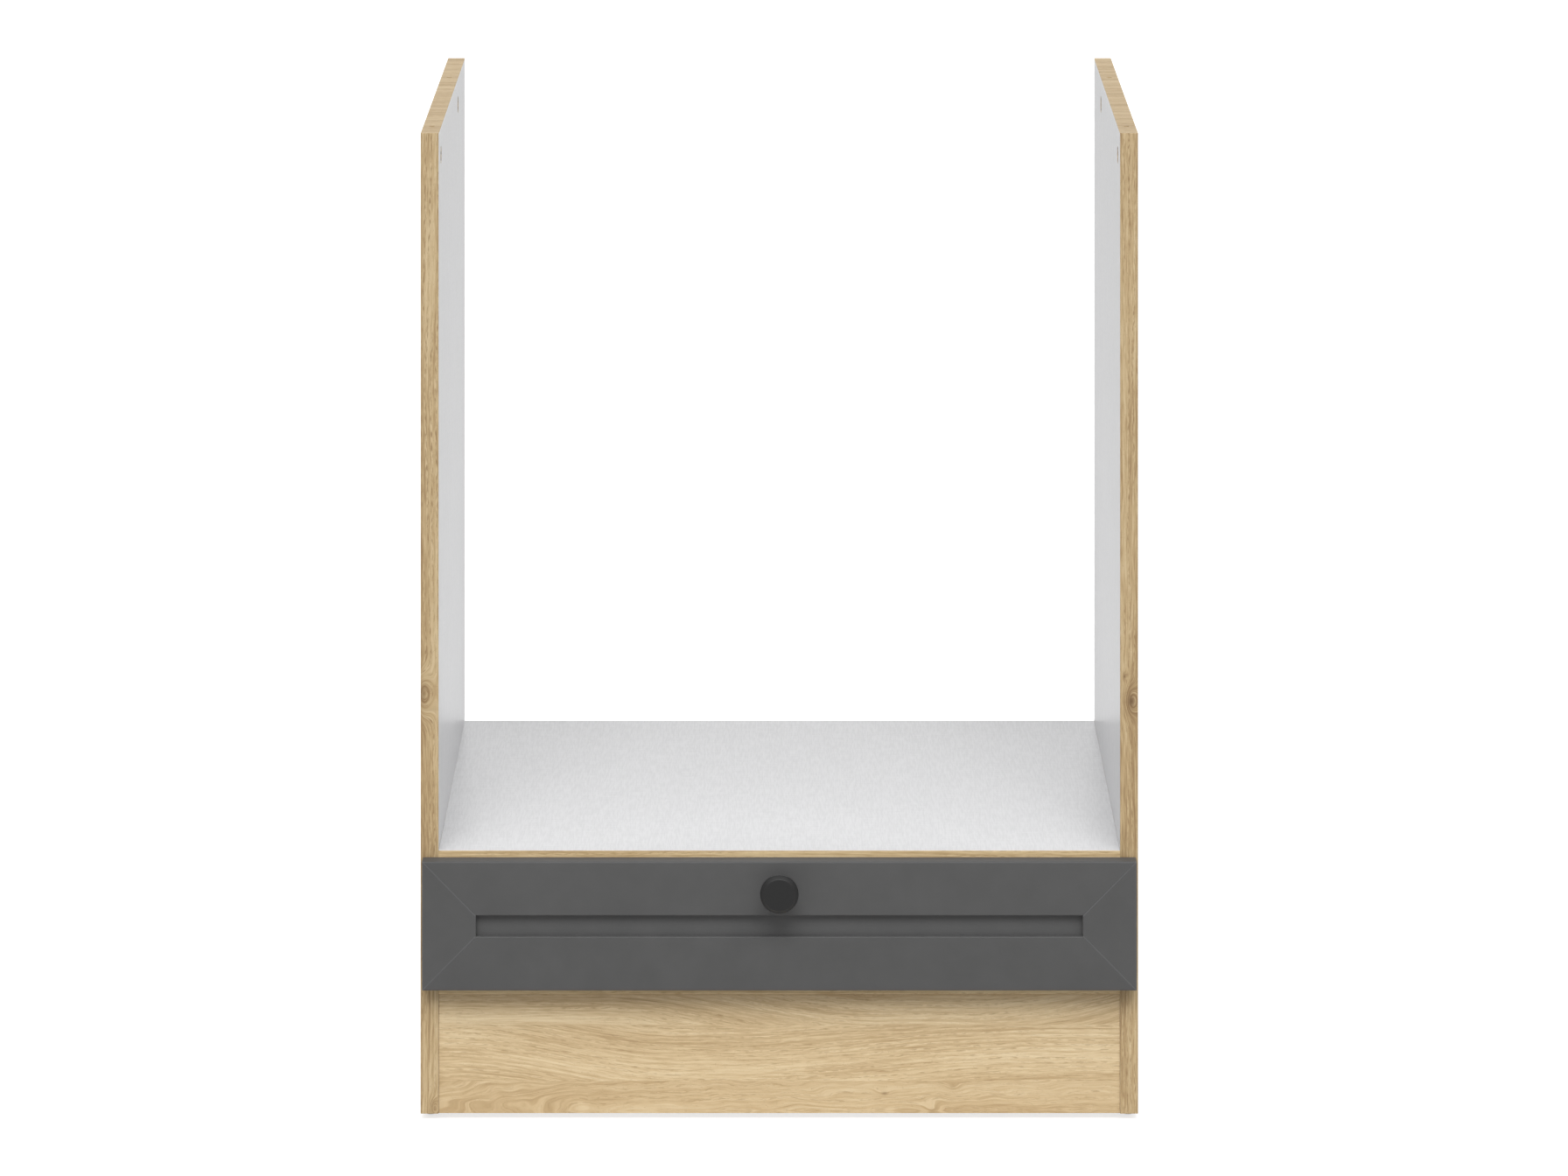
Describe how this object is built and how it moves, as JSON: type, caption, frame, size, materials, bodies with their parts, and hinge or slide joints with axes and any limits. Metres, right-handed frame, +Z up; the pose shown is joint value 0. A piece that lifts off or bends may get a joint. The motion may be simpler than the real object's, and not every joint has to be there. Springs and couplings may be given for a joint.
{
  "type": "oven base unit with drawer",
  "caption": "Base cabinet for a built-in oven: open niche between oak-effect sides over a white shelf, a shallow graphite drawer with a round knob, and a plinth.",
  "frame": {"origin": "middle of the overall box's footprint, on the floor under the glides", "axes": "+X to the unit's right as seen from the front, +Y towards the wall, +Z up; the drawer opens along -Y"},
  "size_m": [0.6, 0.598, 0.825],
  "materials": {
    "side_board": "melamine-faced chipboard: pale oak decor outside, white linen-embossed inside",
    "white_board": "white melamine-faced chipboard with a fine linen emboss",
    "oak_band": "pale oak decor edge banding",
    "oak_board": "pale oak decor, grain along the board",
    "hardboard": "thin hardboard, white lacquered inside, brown outside",
    "graphite_front": "matt graphite foil on fibreboard",
    "black_knob": "satin black powder coat",
    "runner_steel": "light grey epoxy coated sheet steel",
    "roller_nylon": "natural white nylon",
    "zinc_steel": "bright zinc plated",
    "cam_zinc": "zinc die-cast",
    "birch_ply": "raw birch plywood",
    "pine_block": "planed raw pine",
    "glide_plastic": "smooth moulded plastic",
    "bumper_rubber": "clear soft polyurethane"
  },
  "bodies": {
    "carcass": {"back_panel": "hardboard", "board_tongues": "birch_ply", "bottom_edge_band": "oak_band", "bottom_panel": "white_board", "front_edge_band_left": "oak_band", "front_edge_band_right": "oak_band", "front_roller_pins": "zinc_steel", "glides": "glide_plastic", "oven_shelf": "white_board", "plinth_blocks": "pine_block", "plinth_board": "oak_board", "plinth_tongues": "birch_ply", "runner_profile_left": "runner_steel", "runner_profile_right": "runner_steel", "runner_screws": "zinc_steel", "shelf_edge_band": "oak_band", "side_panel_left": "side_board", "side_panel_right": "side_board", "top_edge_band_left": "oak_band", "top_edge_band_right": "oak_band", "worktop_cams": "cam_zinc"},
    "drawer": {"drawer_back": "white_board", "drawer_floor": "white_board", "drawer_front_screws": "zinc_steel", "drawer_side_left": "runner_steel", "drawer_side_right": "runner_steel", "drawer_track_left": "runner_steel", "drawer_track_right": "runner_steel", "front_bottom_rail": "graphite_front", "front_bumpers": "bumper_rubber", "front_centre_panel": "graphite_front", "front_mitre_tongues": "birch_ply", "front_stile_left": "graphite_front", "front_stile_right": "graphite_front", "front_top_rail": "graphite_front", "knob": "black_knob", "knob_screw": "zinc_steel", "rear_roller_pins": "zinc_steel"},
    "front_roller_left": {"front_roller_left": "roller_nylon"},
    "front_roller_right": {"front_roller_right": "roller_nylon"},
    "rear_roller_left": {"rear_roller_left": "roller_nylon"},
    "rear_roller_right": {"rear_roller_right": "roller_nylon"}
  },
  "joints": [
    {"name": "drawer_slide", "type": "slide", "parent": "carcass", "child": "drawer", "axis": [0, -1, 0], "range_m": [0, 0.37]},
    {"name": "front_roller_left_spin", "type": "hinge", "parent": "carcass", "child": "front_roller_left", "pos_m": [-0.2802, -0.24, 0.1378], "axis": [1, 0, 0], "continuous": true},
    {"name": "front_roller_right_spin", "type": "hinge", "parent": "carcass", "child": "front_roller_right", "pos_m": [0.2802, -0.24, 0.1378], "axis": [1, 0, 0], "continuous": true},
    {"name": "rear_roller_left_spin", "type": "hinge", "parent": "drawer", "child": "rear_roller_left", "pos_m": [-0.2773, 0.23, 0.13545], "axis": [1, 0, 0], "continuous": true},
    {"name": "rear_roller_right_spin", "type": "hinge", "parent": "drawer", "child": "rear_roller_right", "pos_m": [0.2773, 0.23, 0.13545], "axis": [1, 0, 0], "continuous": true}
  ],
  "couplings": [
    {"joint": "front_roller_left_spin", "follows": "drawer_slide", "rad_per_m": 100},
    {"joint": "front_roller_right_spin", "follows": "drawer_slide", "rad_per_m": 100},
    {"joint": "rear_roller_left_spin", "follows": "drawer_slide", "rad_per_m": 100},
    {"joint": "rear_roller_right_spin", "follows": "drawer_slide", "rad_per_m": 100}
  ]
}
